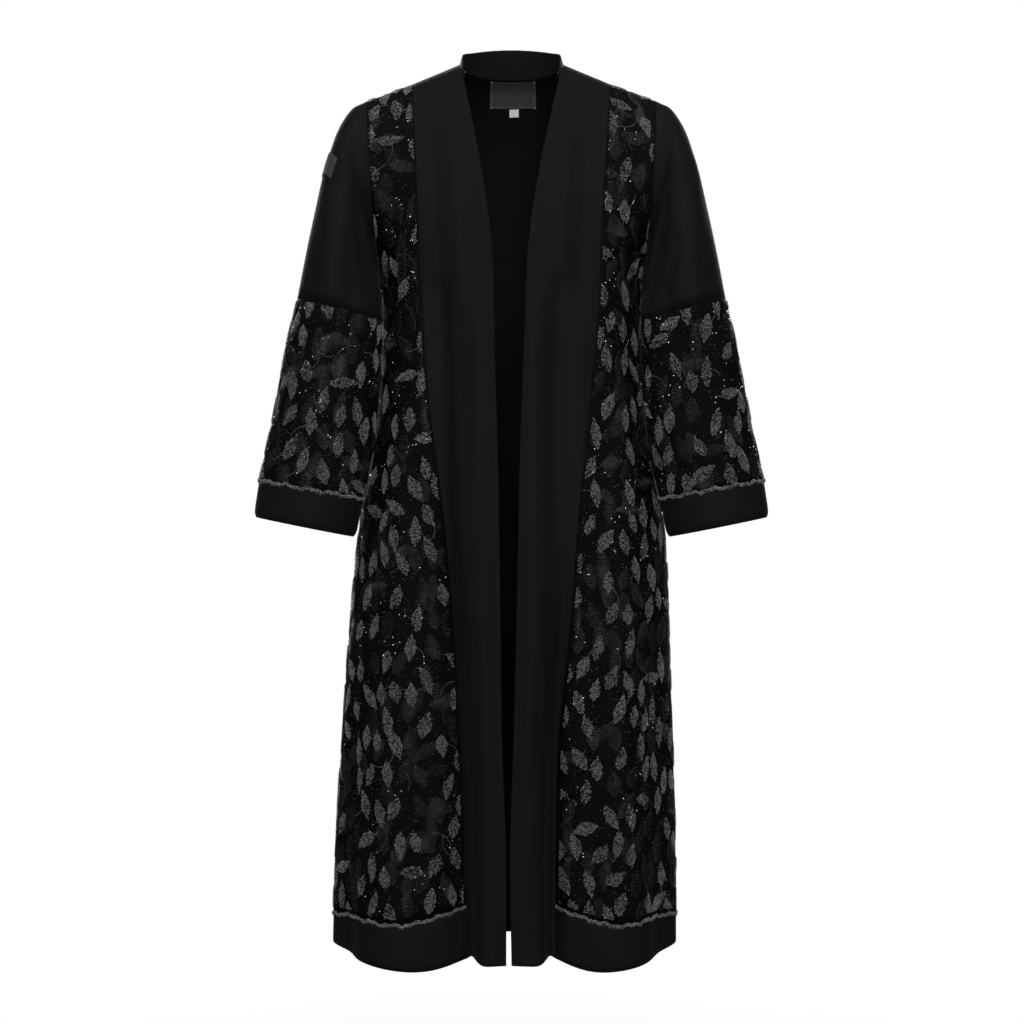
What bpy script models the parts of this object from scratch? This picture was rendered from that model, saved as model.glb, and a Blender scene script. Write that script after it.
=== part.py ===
"""Open-fronted abaya coat, filled out as if worn and hollow, with nobody in it.

Metres, +Z up. The front faces -Y, and left and right are those of someone who looks at the front.
The origin is midway between the neck points of the two shoulder seams, where the wearer carries it.
One surface is worked out for the whole coat. The cut pieces are taken from it, each as a thin wall
that stops just short of its neighbours at the seams.
"""

import math

import bmesh
import bpy
import numpy as np

# Cloth and seams
WALL = 0.002  # thickness of every cloth wall
SEAM_GAP = 0.0003  # between two pieces at a seam, and under what lies on a panel
SEAM_MITRE = 0.55  # limits how far a wall's corner grows at a sharp seam
SEAM_CLEAR = 0.25  # limits how far a piece draws back at a sharp seam

# Shoulders and neck
NECK_HALF = 0.073  # neck point to the centre
NECK_BACK = 0.066  # how far back the neckline reaches
NECK_DIP = 0.014  # how far the back neckline lies below the neck points
SHOULDER_SHARE = 0.60  # part of the back's width, seam to centre, that ends at the shoulder
SEAM_TOP = (0.138, 0.027)  # where the panel seam meets the shoulder: out, down
SHOULDER_TIP = (0.201, 0.051)  # armhole end of the shoulder seam: out, down
SHOULDER_Y = 0.004  # the shoulder seam lies this far behind the origin
EDGE_SWEEP = 1.4  # curve of the front edge between the chest and the neck point

# Collar, a standing band
COLLAR_HEIGHTS = (0.042, 0.0135, 0.0075, 0.002)  # centre back, neck point, then down the front edge
COLLAR_LEAN = 0.32  # lean towards the neck, as a share of the height

# Armholes and the section form
ARMPIT_DROP = 0.255  # armpit below the shoulder's neck point
ARMHOLE_SPREAD = 3.0  # how fast the armhole's fullness fades towards the middle
UNDERARM_DIP = 0.032  # how far the mesh row at the armpit runs down under the armhole
UNDERARM_REACH = 0.13  # over what part of the way round a panel
BODY_POWER = 2.3  # 2 is an ellipse, more is squarer
SLEEVE_POWER = 2.1

# Columns of the mesh across each piece, and rows up it
FRONT_COLUMNS = 6
SIDE_COLUMNS = 7
SHOULDER_COLUMNS = FRONT_COLUMNS + SIDE_COLUMNS
NECK_COLUMNS = 4
BAND_ROWS = 2
SKIRT_ROWS = 11
CHEST_ROWS = 12
CHEST_CROWDING = 1.35  # rows lie closer together towards the shoulder
SAME_POINT = 1e-6  # points closer than this are one
SAME_DIGITS = 5  # decimals of a metre by which a point is looked up
SHARP_ANGLE = math.radians(50)  # edges sharper than this are shaded as corners

# Sections of the body below the armpit. Edge, seam and side are distances from the centre.
SECTION_NAMES = "drop left_edge right_edge left_seam right_seam left_side right_side front back"
SECTIONS = (
    (0.255, 0.0265, 0.0224, 0.1300, 0.1240, 0.1880, 0.1880, 0.114, 0.112),
    (0.290, 0.0250, 0.0208, 0.1268, 0.1226, 0.1858, 0.1858, 0.116, 0.109),
    (0.330, 0.0237, 0.0193, 0.1240, 0.1208, 0.1825, 0.1825, 0.118, 0.106),
    (0.420, 0.0225, 0.0157, 0.1200, 0.1140, 0.1840, 0.1840, 0.120, 0.104),
    (0.500, 0.0197, 0.0125, 0.1125, 0.1065, 0.1900, 0.1900, 0.122, 0.108),
    (0.570, 0.0180, 0.0108, 0.1045, 0.1000, 0.2010, 0.2010, 0.125, 0.116),
    (0.630, 0.0168, 0.0093, 0.0980, 0.0930, 0.2115, 0.2115, 0.128, 0.122),
    (0.700, 0.0156, 0.0080, 0.0915, 0.0885, 0.2190, 0.2175, 0.131, 0.126),
    (0.800, 0.0143, 0.0060, 0.0830, 0.0815, 0.2270, 0.2200, 0.134, 0.130),
    (0.940, 0.0125, 0.0024, 0.0750, 0.0690, 0.2360, 0.2235, 0.138, 0.135),
    (1.090, 0.0072, -0.0022, 0.0680, 0.0662, 0.2436, 0.2258, 0.142, 0.141),
    (1.240, 0.0070, 0.0000, 0.0650, 0.0650, 0.2470, 0.2262, 0.146, 0.146),
)

# Place round the body: 0 front edge, 1 panel seam, 2 side seam, 3 centre back.
HEM_NAMES = "place hem band_top"
HEM = (
    (0.0, 1.2400, 1.1800),
    (0.5, 1.2400, 1.1740),
    (1.0, 1.2360, 1.1670),
    (1.15, 1.2510, 1.1810),
    (1.3, 1.2505, 1.1900),
    (1.45, 1.2440, 1.1855),
    (1.7, 1.2335, 1.1830),
    (2.0, 1.2190, 1.1850),
    (2.5, 1.2320, 1.1800),
    (3.0, 1.2340, 1.1800),
)

# Folds that deepen from where they start down to the hem. Out is positive.
FOLD_NAMES = "side place width starts out"
FOLDS = (
    ("both", 0.42, 0.30, 0.36, 0.010),
    ("left", 0.97, 0.24, 0.30, -0.036),
    ("right", 0.95, 0.24, 0.28, -0.034),
    ("both", 1.36, 0.22, 0.45, 0.012),
    ("left", 1.70, 0.12, 0.62, -0.010),
    ("right", 1.66, 0.12, 0.55, -0.010),
    ("both", 1.90, 0.10, 0.70, 0.006),
    ("left", 2.16, 0.10, 0.60, -0.014),
    ("right", 2.20, 0.10, 0.66, -0.012),
    ("both", 2.40, 0.11, 0.50, 0.014),
    ("left", 2.62, 0.10, 0.52, -0.016),
    ("right", 2.66, 0.10, 0.46, -0.015),
    ("both", 2.86, 0.10, 0.55, 0.010),
)

# Rings down a sleeve: outer and inner end of each ring, out from the centre and down from the
# shoulder, then how far forward its middle lies and half its depth from front to back.
RING_NAMES = "outer_x outer_drop inner_x inner_drop forward depth"
RINGS = (
    (0.2010, 0.0510, 0.1880, 0.2550, -0.004, 0.078),
    (0.2250, 0.0660, 0.1896, 0.2620, 0.004, 0.079),
    (0.2430, 0.0980, 0.1876, 0.2740, 0.018, 0.079),
    (0.2560, 0.1430, 0.1856, 0.2880, 0.032, 0.077),
    (0.2675, 0.1920, 0.1836, 0.3020, 0.044, 0.075),
    (0.2820, 0.2600, 0.1795, 0.3260, 0.052, 0.072),
    (0.2955, 0.3330, 0.1795, 0.3620, 0.058, 0.069),
    (0.3100, 0.3950, 0.1800, 0.4200, 0.062, 0.066),
    (0.3295, 0.5000, 0.1890, 0.5230, 0.065, 0.062),
    (0.3475, 0.5830, 0.2040, 0.6085, 0.066, 0.060),
    (0.3545, 0.6330, 0.2150, 0.6610, 0.065, 0.059),
)
UPPER_RINGS = (0, 0.5, 1, 2, 3, 4, 5, 6)
LOWER_RINGS = (6, 6.5, 7, 7.5, 8, 8.5, 9)
CUFF_RINGS = (9, 9.5, 9.86, 10)
CUFF_TUCK = 0.0025  # how far the cuff draws in over its last ring, at the rounded end

# Creases of a sleeve. Turn runs from 0 outside by way of 0.25 in front to 0.5 inside.
CREASE_NAMES = "turn turn_width ring ring_width out"
CREASES = (
    (0.36, 0.055, 3.6, 1.9, -0.010),
    (0.22, 0.060, 3.8, 2.0, 0.004),
    (0.30, 0.050, 6.6, 1.0, -0.005),
    (0.66, 0.060, 5.6, 1.4, -0.010),
    (0.82, 0.050, 6.6, 1.2, -0.005),
)

# Edging and labels
TRIM_HALF = 0.003  # half its width
TRIM_THICK = 0.0014
TRIM_GAP = 0.0006  # clear of the two walls beneath it
LABEL_THICK = 0.0008
LABEL_GAP = 0.0006  # clear of the panel's facets, also where they twist
NECK_LABEL = (0.0021, 0.065, 0.036)  # middle from the centre, width, height
SIZE_TAG = (0.0037, 0.0135, 0.011)
LABEL_TUCK = 0.001  # the neck label starts this far below the collar seam
SLEEVE_LABEL = ((2.72, 3.42), (0.024, 0.136))  # rings, turns
SLEEVE_LABEL_LEAN = -0.12  # rows by which it climbs from column to column, so that it hangs level

# Colour and roughness of each finish
FINISHES = {
    "black_crepe": ((0.010, 0.010, 0.011), 0.78),
    "beaded_net": ((0.024, 0.024, 0.025), 0.62),
    "bead_edging": ((0.110, 0.110, 0.108), 0.45),
    "woven_label": ((0.030, 0.033, 0.033), 0.70),
    "white_tape": ((0.780, 0.780, 0.760), 0.80),
}
SIGN = {"left": -1, "right": 1}


def column(names, rows, name):
    """One named column of a table."""
    return np.array([row[names.split().index(name)] for row in rows], float)


def smooth(xs, ys, x):
    """The table's value at x, on a cubic whose slopes follow the neighbouring rows."""
    slopes = np.gradient(ys, xs)
    i = int(np.clip(np.searchsorted(xs, x) - 1, 0, len(xs) - 2))
    span = xs[i + 1] - xs[i]
    t = float(np.clip((x - xs[i]) / span, 0, 1))
    rise = t * t * (3 - 2 * t)
    start = t * (1 - t) ** 2 * slopes[i] * span
    end = t * t * (t - 1) * slopes[i + 1] * span
    return float(ys[i] + (ys[i + 1] - ys[i]) * rise + start + end)


def section(name, drop):
    drops = column(SECTION_NAMES, SECTIONS, "drop")
    return smooth(drops, column(SECTION_NAMES, SECTIONS, name), drop)


def signed_power(value, power):
    return math.copysign(abs(value) ** power, value)


def ease(value):
    """0 up to 0, then a smooth rise to 1."""
    value = min(max(value, 0.0), 1.0)
    return value * value * (3 - 2 * value)


def turn_of(out, half):
    """Angle on a section at which its outline lies that far out."""
    return math.copysign(math.asin(min(abs(out / half) ** (BODY_POWER / 2), 1)), out)


def body_point(side, place, drop):
    """A point of the body below the armpit, folds included."""
    half = section(side + "_side", drop)
    edge = turn_of(section(side + "_edge", drop), half)
    seam = turn_of(section(side + "_seam", drop), half)
    angle = float(np.interp(place, (0, 1, 2, 3), (edge, seam, math.pi / 2, math.pi)))
    depth = section("front" if place < 2 else "back", drop)
    across = signed_power(math.sin(angle), 2 / BODY_POWER)
    ahead = signed_power(math.cos(angle), 2 / BODY_POWER)
    normal = np.array(
        (
            signed_power(across, BODY_POWER - 1) / half,
            -signed_power(ahead, BODY_POWER - 1) / depth,
        )
    )
    normal /= np.linalg.norm(normal)
    hem = hem_drop("hem", place)
    out = 0.0
    for fold_side, middle, width, starts, height in FOLDS:
        if fold_side in (side, "both"):
            down = ease((drop - starts) / (hem - starts))
            out += height * down * math.exp(-(((place - middle) / width) ** 2))
    x = across * half + normal[0] * out
    return np.array((SIGN[side] * x, -ahead * depth + normal[1] * out, -drop))


def hem_drop(name, place):
    return smooth(column(HEM_NAMES, HEM, "place"), column(HEM_NAMES, HEM, name), place)


def ring_point(side, ring, turn):
    """A point of a sleeve. Ring 0 is the armhole."""
    steps = np.arange(len(RINGS))
    value = {
        name: smooth(steps, column(RING_NAMES, RINGS, name), ring) for name in RING_NAMES.split()
    }
    outer = np.array((value["outer_x"], -value["forward"], -value["outer_drop"]))
    inner = np.array((value["inner_x"], -value["forward"], -value["inner_drop"]))
    angle = 2 * math.pi * turn
    share = 1.0
    for middle, width, level, level_width, height in CREASES:
        away = (turn - middle + 0.5) % 1 - 0.5
        near = math.exp(-((away / width) ** 2) - ((ring - level) / level_width) ** 2)
        share += height * near * ease(ring) / value["depth"]
    tuck = ease((ring - CUFF_RINGS[-2]) / (CUFF_RINGS[-1] - CUFF_RINGS[-2]))
    share -= CUFF_TUCK * tuck / value["depth"]
    across = signed_power(math.cos(angle), 2 / SLEEVE_POWER) * share
    ahead = signed_power(math.sin(angle), 2 / SLEEVE_POWER) * share
    point = (outer + inner) / 2 + (outer - inner) / 2 * across
    point[1] -= value["depth"] * ahead
    return point * (SIGN[side], 1, 1)


def top_point(side, place):
    """A point of the shoulder seam or, behind, of the neckline."""
    neck = np.array((NECK_HALF, SHOULDER_Y, 0))
    seam = np.array((SEAM_TOP[0], SHOULDER_Y, -SEAM_TOP[1]))
    tip = np.array((SHOULDER_TIP[0], SHOULDER_Y, -SHOULDER_TIP[1]))
    if 2 < place <= 2 + SHOULDER_SHARE:
        place = 2 - 2 * (place - 2) / SHOULDER_SHARE
    if place <= 1:
        point = neck + (seam - neck) * place
    elif place <= 2:
        point = seam + (tip - seam) * (place - 1)
    else:
        angle = math.pi / 2 * (place - 2 - SHOULDER_SHARE) / (1 - SHOULDER_SHARE)
        point = np.array(
            (
                NECK_HALF * math.cos(angle),
                SHOULDER_Y + (NECK_BACK - SHOULDER_Y) * math.sin(angle),
                -NECK_DIP * math.sin(angle),
            )
        )
    return point * (SIGN[side], 1, 1)


def chest_column(rise, low, high):
    """A point between the armpit's level and the shoulder, before the armhole's fullness."""
    point = low + (high - low) * rise
    point[0] = low[0] + (high[0] - low[0]) * rise**EDGE_SWEEP
    point[1] = high[1] + (low[1] - high[1]) * math.sqrt(max(1 - rise * rise, 0))
    return point


def underarm_drop(place):
    """Depth of the row at the armpit, which leaves the side seam at a slant under the armhole."""
    return ARMPIT_DROP + UNDERARM_DIP * (1 - math.exp(-abs(place - 2) / UNDERARM_REACH))


def chest_point(side, place, row, behind):
    """A point of the body above the armpit: rows 0 at the armpit's level to CHEST_ROWS."""
    share = row / CHEST_ROWS
    rise = 1 - (1 - share) ** CHEST_CROWDING
    armpit = body_point(side, 2, ARMPIT_DROP)
    side_column = chest_column(rise, armpit, top_point(side, 2))
    armhole = ring_point(side, 0, 0.5 * (1 + share) if behind else 0.5 * (1 - share))
    low = body_point(side, place, underarm_drop(place))
    point = chest_column(rise, low, top_point(side, place))
    reach = 3 - place if behind else place / 2
    return point + (armhole - side_column) * reach**ARMHOLE_SPREAD


def front_places():
    """The mesh columns' places from the front edge to the side seam."""
    front = [i / FRONT_COLUMNS for i in range(FRONT_COLUMNS)]
    return front + [1 + i / SIDE_COLUMNS for i in range(SIDE_COLUMNS + 1)]


def back_places():
    """The mesh columns' places from the side seam to the centre back."""
    shoulder = [
        2 + (2 - place) / 2 * SHOULDER_SHARE for place in reversed(front_places()) if place > 0
    ]
    neck = np.linspace(2 + SHOULDER_SHARE, 3, NECK_COLUMNS + 1)
    return shoulder + list(neck)


def body_grid(side, places, behind):
    """Rows of points from the hem to the shoulder seam or neckline, one column for each place."""
    rows = []
    for row in range(BAND_ROWS + SKIRT_ROWS):
        line = []
        for place in places:
            hem, top = hem_drop("hem", place), hem_drop("band_top", place)
            if row < BAND_ROWS:
                drop = hem + (top - hem) * row / BAND_ROWS
            else:
                drop = top + (underarm_drop(place) - top) * (row - BAND_ROWS) / SKIRT_ROWS
            line.append(body_point(side, place, drop))
        rows.append(line)
    for row in range(CHEST_ROWS + 1):
        rows.append([chest_point(side, place, row, behind) for place in places])
    return np.array(rows)


def sleeve_grid(side, rings):
    """Rings of points, each a closed loop that starts at the outer side and goes by the front."""
    count = 2 * CHEST_ROWS
    return np.array([[ring_point(side, r, j / count) for j in range(count + 1)] for r in rings])


def collar_grid(grids):
    """The band's rows of points, from one front edge round the back neck to the other."""
    low, heights = [], []
    for side in ("left", "right"):
        front, back = grids["front_" + side], grids["back_" + side]
        neckline = list(back[-1, SHOULDER_COLUMNS:])
        rise = [math.sin(math.pi / 2 * i / NECK_COLUMNS) for i in range(NECK_COLUMNS + 1)]
        stand = [COLLAR_HEIGHTS[1] + (COLLAR_HEIGHTS[0] - COLLAR_HEIGHTS[1]) * r for r in rise]
        low.append([front[-3, 0], front[-2, 0], *neckline])
        heights.append([COLLAR_HEIGHTS[3], COLLAR_HEIGHTS[2], *stand])
    chain = np.array(low[0] + low[1][-2::-1])
    height = np.array(heights[0] + heights[1][-2::-1])[:, None]
    inward = chain * (-1, -1, 0) + (0, SHOULDER_Y, 0)
    inward[:, 1] = np.minimum(inward[:, 1], 0)
    inward /= np.linalg.norm(inward, axis=1)[:, None]
    middle = chain + height / 2 * (inward * COLLAR_LEAN + (0, 0, 1))
    top = chain + height * (inward * COLLAR_LEAN + (0, 0, 1))
    return np.array((chain, middle, top))


def add_grid(shell, layer, grid, piece, flip):
    """Adds a grid's faces to the coat's surface, marked with the piece they belong to."""
    verts = [[shell.verts.new(point) for point in row] for row in grid]
    for low, high in zip(verts, verts[1:]):
        for j in range(len(low) - 1):
            corners = [low[j], low[j + 1], high[j + 1], high[j]]
            face = shell.faces.new(corners[::-1] if flip else corners)
            face[layer] = piece


def coat_surface():
    """The whole coat as one surface. Returns it, its piece marks, the piece names and its grids."""
    shell = bmesh.new()
    layer = shell.faces.layers.int.new("piece")
    names, grids = [], {}
    seam = FRONT_COLUMNS

    def place_piece(name, grid, flip):
        if name not in names:
            names.append(name)
        add_grid(shell, layer, grid, names.index(name), flip)

    for side in ("left", "right"):
        front = grids["front_" + side] = body_grid(side, front_places(), False)
        back = grids["back_" + side] = body_grid(side, back_places(), True)
        mirrored = side == "left"
        place_piece("front_" + side, front[:, : seam + 1], mirrored)
        place_piece("side_front_" + side, front[BAND_ROWS:, seam:], mirrored)
        place_piece("hem_band_" + side, front[: BAND_ROWS + 1, seam:], mirrored)
        place_piece("back", back, mirrored)
        for part, rings in (("upper", UPPER_RINGS), ("lower", LOWER_RINGS), ("cuff", CUFF_RINGS)):
            name = "cuff_" + side if part == "cuff" else "sleeve_" + part + "_" + side
            grids[name] = sleeve_grid(side, rings)
            place_piece(name, grids[name], mirrored)
    grids["collar"] = collar_grid(grids)
    place_piece("collar", grids["collar"], True)
    bmesh.ops.remove_doubles(shell, verts=shell.verts, dist=SAME_POINT)
    shell.verts.index_update()
    shell.normal_update()
    return shell, layer, names, grids


def key_of(point):
    """A point's place as a key, the same for a mesh's 32-bit point and for the grid's own."""
    return tuple(round(float(np.float32(value)), SAME_DIGITS) for value in point)


def draw_back(vert, mine, normal):
    """How a piece's border point moves into the piece, so that half the seam's gap opens."""
    centre = sum((f.calc_center_median() for f in mine), vert.co * 0) / len(mine)
    along = (centre - vert.co).normalized()
    ends = [
        e.other_vert(vert).co
        for e in vert.link_edges
        if sum(f in mine for f in e.link_faces) == 1 and len(e.link_faces) == 2
    ]
    clear = math.sqrt(max(1 - along.dot(normal) ** 2, 0))
    if len(ends) == 2 and len(mine) > 1:
        seam = (ends[0] - ends[1]).normalized()
        along = (along - seam * along.dot(seam)).normalized()
        clear = abs(along.dot(seam.cross(normal).normalized()))
    corner = math.sqrt(2) if len(mine) == 1 else 1
    return along * (SEAM_GAP / 2 * corner / max(clear, SEAM_CLEAR))


def cut_piece(shell, layer, piece):
    """One piece's wall: its outer skin on the coat's surface and its inner skin WALL inside.

    Also returns how far in the inner skin lies at each point, which is more at a sharp seam.
    """
    faces = [f for f in shell.faces if f[layer] == piece]
    own = set(faces)
    wall = bmesh.new()
    outer, inner, depths = {}, {}, {}
    for vert in {v: None for f in faces for v in f.verts}:
        mine = [f for f in vert.link_faces if f in own]
        normal = sum((f.normal for f in vert.link_faces), vert.normal * 0).normalized()
        point = vert.co.copy()
        if len(mine) < len(vert.link_faces):
            point += draw_back(vert, mine, normal)
        square = sum(abs(f.normal.dot(normal)) for f in vert.link_faces) / len(vert.link_faces)
        depth = depths[key_of(vert.co)] = WALL / max(square, SEAM_MITRE)
        outer[vert] = wall.verts.new(point)
        inner[vert] = wall.verts.new(point - normal * depth)
    for face in faces:
        wall.faces.new([outer[v] for v in face.verts])
        wall.faces.new([inner[v] for v in reversed(face.verts)])
        for loop in face.loops:
            if sum(f in own for f in loop.edge.link_faces) == 1:
                a, b = loop.vert, loop.link_loop_next.vert
                # Both pieces at a seam split its face along the same diagonal, so that they match.
                if a.index < b.index:
                    wall.faces.new([outer[b], outer[a], inner[b]])
                    wall.faces.new([outer[a], inner[a], inner[b]])
                else:
                    wall.faces.new([outer[b], outer[a], inner[a]])
                    wall.faces.new([outer[b], inner[a], inner[b]])
    return wall, depths


def normals_at(shell, points):
    """The surface's own outward normals at some of its points."""
    found = {key_of(v.co): v.normal for v in shell.verts}
    return np.array([found[key_of(p)] for p in points])


def layer_on(points, normals, gap, thick):
    """The near and far skin of something that lies a gap out from a panel's points."""
    return points + normals * gap, points + normals * (gap + thick)


def slab(near, far, closed):
    """A closed solid between two grids of points. Closed grids join their last column to their first."""
    body = bmesh.new()
    rows, columns = near.shape[:2]
    sheets = [[[body.verts.new(p) for p in row] for row in sheet] for sheet in (near, far)]
    pairs = [(j, (j + 1) % columns) for j in range(columns if closed else columns - 1)]
    for i in range(rows - 1):
        for j, k in pairs:
            for sheet, step in ((sheets[0], -1), (sheets[1], 1)):
                body.faces.new([sheet[i][j], sheet[i][k], sheet[i + 1][k], sheet[i + 1][j]][::step])
    for i in (0, rows - 1):
        for j, k in pairs:
            rim = [sheets[0][i][j], sheets[0][i][k], sheets[1][i][k], sheets[1][i][j]]
            body.faces.new(rim)
    if not closed:
        for j in (0, columns - 1):
            for i in range(rows - 1):
                rim = [sheets[0][i][j], sheets[0][i + 1][j], sheets[1][i + 1][j], sheets[1][i][j]]
                body.faces.new(rim)
    bmesh.ops.recalc_face_normals(body, faces=body.faces)
    return body


def trim(shell, below, seam, above, closed):
    """Edging centred on a seam: three rows of points, the outer two moved close to the seam."""
    rows = []
    for row in (below, above):
        step = row - seam
        rows.append(seam + step * (TRIM_HALF / np.linalg.norm(step, axis=1))[:, None])
    normals = normals_at(shell, seam)
    grid = np.array((rows[0], seam, rows[1]))
    near, far = layer_on(grid, normals[None], TRIM_GAP, TRIM_THICK)
    return slab(near, far, closed)


def stops(span):
    """The span's two ends and the panel's own grid lines between them."""
    start, end = span
    return [start, *range(math.floor(start) + 1, math.ceil(end)), end]


def label_patch(grid, ways, row_span, column_span, lean=0.0):
    """A patch on a panel's grid of points, between two rows and two columns of it.

    The ways lead from the panel's points to the label's near skin. With a lean, its two ends
    shift by that many rows from one column to the next.
    """
    points, near = [], []
    for stop in stops(row_span):
        for place in stops(column_span):
            row = stop + lean * (place - column_span[0]) if stop in row_span else stop
            i, j = min(int(row), grid.shape[0] - 2), min(int(place), grid.shape[1] - 2)
            s, t = row - i, place - j
            weights = ((1 - s) * (1 - t), (1 - s) * t, s * (1 - t), s * t)
            cell = ((i, j), (i, j + 1), (i + 1, j), (i + 1, j + 1))
            points.append(sum(w * grid[c] for w, c in zip(weights, cell)))
            near.append(sum(w * (grid[c] + ways[c]) for w, c in zip(weights, cell)))
    outs = np.array(near) - np.array(points)
    outs /= np.linalg.norm(outs, axis=1)[:, None]
    near, far = layer_on(np.array(near), outs, 0, LABEL_THICK)
    shape = (len(stops(row_span)), len(stops(column_span)), 3)
    return slab(near.reshape(shape), far.reshape(shape), False)


def grid_normals(shell, grid):
    return normals_at(shell, grid.reshape(-1, 3)).reshape(grid.shape)


def finish(name, kind):
    colour, roughness = FINISHES[kind]
    material = bpy.data.materials.new(name + "_" + kind)
    material.use_nodes = True
    shader = material.node_tree.nodes["Principled BSDF"]
    shader.inputs["Base Color"].default_value = (*colour, 1)
    shader.inputs["Roughness"].default_value = roughness
    shader.inputs["Metallic"].default_value = 0.0
    return material


def add_object(name, mesh_data, kind):
    mesh = bpy.data.meshes.new(name)
    mesh_data.to_mesh(mesh)
    mesh_data.free()
    mesh.materials.append(finish(name, kind))
    mesh.shade_smooth()
    mesh.set_sharp_from_angle(angle=SHARP_ANGLE)
    bpy.context.scene.collection.objects.link(bpy.data.objects.new(name, mesh))


def neck_labels(shell, grids, depths):
    """The woven label inside the back neck and the small tab that hangs from its lower edge."""
    first = SHOULDER_COLUMNS - 1
    back = np.concatenate(
        (grids["back_left"][:, first:], grids["back_right"][:, -2 : first - 1 : -1]), axis=1
    )[-CHEST_ROWS:]
    inward = [-(depths[key_of(point)] + LABEL_GAP) for point in back.reshape(-1, 3)]
    ways = grid_normals(shell, back) * np.reshape(inward, (*back.shape[:2], 1))
    rows, columns = np.arange(back.shape[0]), np.arange(back.shape[1])
    heights = back[:, back.shape[1] // 2, 2]

    def add_label(name, place, top, kind):
        middle, width, height = place
        row_span = [float(np.interp(-drop, heights, rows)) for drop in (top + height, top)]
        xs = back[round(sum(row_span) / 2), :, 0]
        ends = (middle - width / 2, middle + width / 2)
        column_span = [float(np.interp(x, xs, columns)) for x in ends]
        add_object(name, label_patch(back, ways, row_span, column_span), kind)

    top = NECK_DIP + LABEL_TUCK
    add_label("neck_label", NECK_LABEL, top, "woven_label")
    add_label("size_tag", SIZE_TAG, top + NECK_LABEL[2] + SEAM_GAP, "white_tape")


def sleeve_label(shell, grids):
    grid = grids["sleeve_upper_left"]
    ways = grid_normals(shell, grid) * LABEL_GAP
    rows = [float(np.interp(r, UPPER_RINGS, np.arange(len(UPPER_RINGS)))) for r in SLEEVE_LABEL[0]]
    columns = [turn * 2 * CHEST_ROWS for turn in SLEEVE_LABEL[1]]
    label = label_patch(grid, ways, rows, columns, SLEEVE_LABEL_LEAN)
    add_object("sleeve_label", label, "woven_label")


def main():
    for obj in list(bpy.data.objects):
        bpy.data.objects.remove(obj, do_unlink=True)
    shell, layer, names, grids = coat_surface()
    depths = {}
    for piece, name in enumerate(names):
        wall, depths[name] = cut_piece(shell, layer, piece)
        beaded = name.startswith(("side_front", "sleeve_lower"))
        add_object(name, wall, "beaded_net" if beaded else "black_crepe")
    for side in ("left", "right"):
        body = grids["front_" + side][:, FRONT_COLUMNS:]
        rows = body[BAND_ROWS - 1], body[BAND_ROWS], body[BAND_ROWS + 1]
        add_object("hem_trim_" + side, trim(shell, *rows, False), "bead_edging")
        lower, cuff = grids["sleeve_lower_" + side][:, :-1], grids["cuff_" + side][:, :-1]
        ring = trim(shell, cuff[1], cuff[0], lower[-2], True)
        add_object("cuff_trim_" + side, ring, "bead_edging")
    neck_labels(shell, grids, depths["back"])
    sleeve_label(shell, grids)
    shell.free()


main()
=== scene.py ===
"""Looks of an open-fronted abaya coat in black crepe and beaded net, filled out as if worn.

Metres, +Z up, the front faces -Y. Left and right are those of someone who looks at the front.
"""

import math

import bmesh
import bpy
import numpy as np
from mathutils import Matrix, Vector
from mathutils.bvhtree import BVHTree


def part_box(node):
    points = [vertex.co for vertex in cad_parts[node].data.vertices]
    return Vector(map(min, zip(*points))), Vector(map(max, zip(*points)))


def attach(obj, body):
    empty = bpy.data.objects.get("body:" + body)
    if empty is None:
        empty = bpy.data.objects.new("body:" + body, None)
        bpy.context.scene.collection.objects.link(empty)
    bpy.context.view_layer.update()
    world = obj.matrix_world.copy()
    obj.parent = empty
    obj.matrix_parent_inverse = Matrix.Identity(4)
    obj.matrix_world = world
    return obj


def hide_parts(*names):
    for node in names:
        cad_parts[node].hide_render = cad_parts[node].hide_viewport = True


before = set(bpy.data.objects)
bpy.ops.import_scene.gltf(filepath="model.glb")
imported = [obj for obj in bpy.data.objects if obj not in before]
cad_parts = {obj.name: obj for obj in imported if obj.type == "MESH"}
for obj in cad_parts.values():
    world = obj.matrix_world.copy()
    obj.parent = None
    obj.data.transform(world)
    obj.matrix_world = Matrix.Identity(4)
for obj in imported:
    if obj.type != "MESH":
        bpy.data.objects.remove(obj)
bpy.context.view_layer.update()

# Skins of a cloth wall, which are also its material slots
OUTER, INNER, RIM = 0, 1, 2
SIGN = {"left": -1, "right": 1}
BODY = "root"

# Turning the solids' triangles back into smooth cloth
SAME_POINT = 1e-5
JOIN_ANGLE = math.radians(60)
JOIN_ORDER = 1.5  # how strongly triangles join into a regular grid
RIM_EDGE = 0.0045  # a wall's rim has edges shorter than this
FIT_PASSES = 3  # rounds that bring the smooth surface back through the solid's own points
CLOTH_LEVELS = {"front": 3, "collar": 3}  # how finely a piece is rounded, 2 elsewhere

# Lines that cloth lies round: the middle of the body and of each sleeve
BODY_HALF = (0.23, 0.13)
SLEEVE_TOP = (0.212, -0.020, -0.150)
SLEEVE_END = (0.284, -0.060, -0.647)

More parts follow.
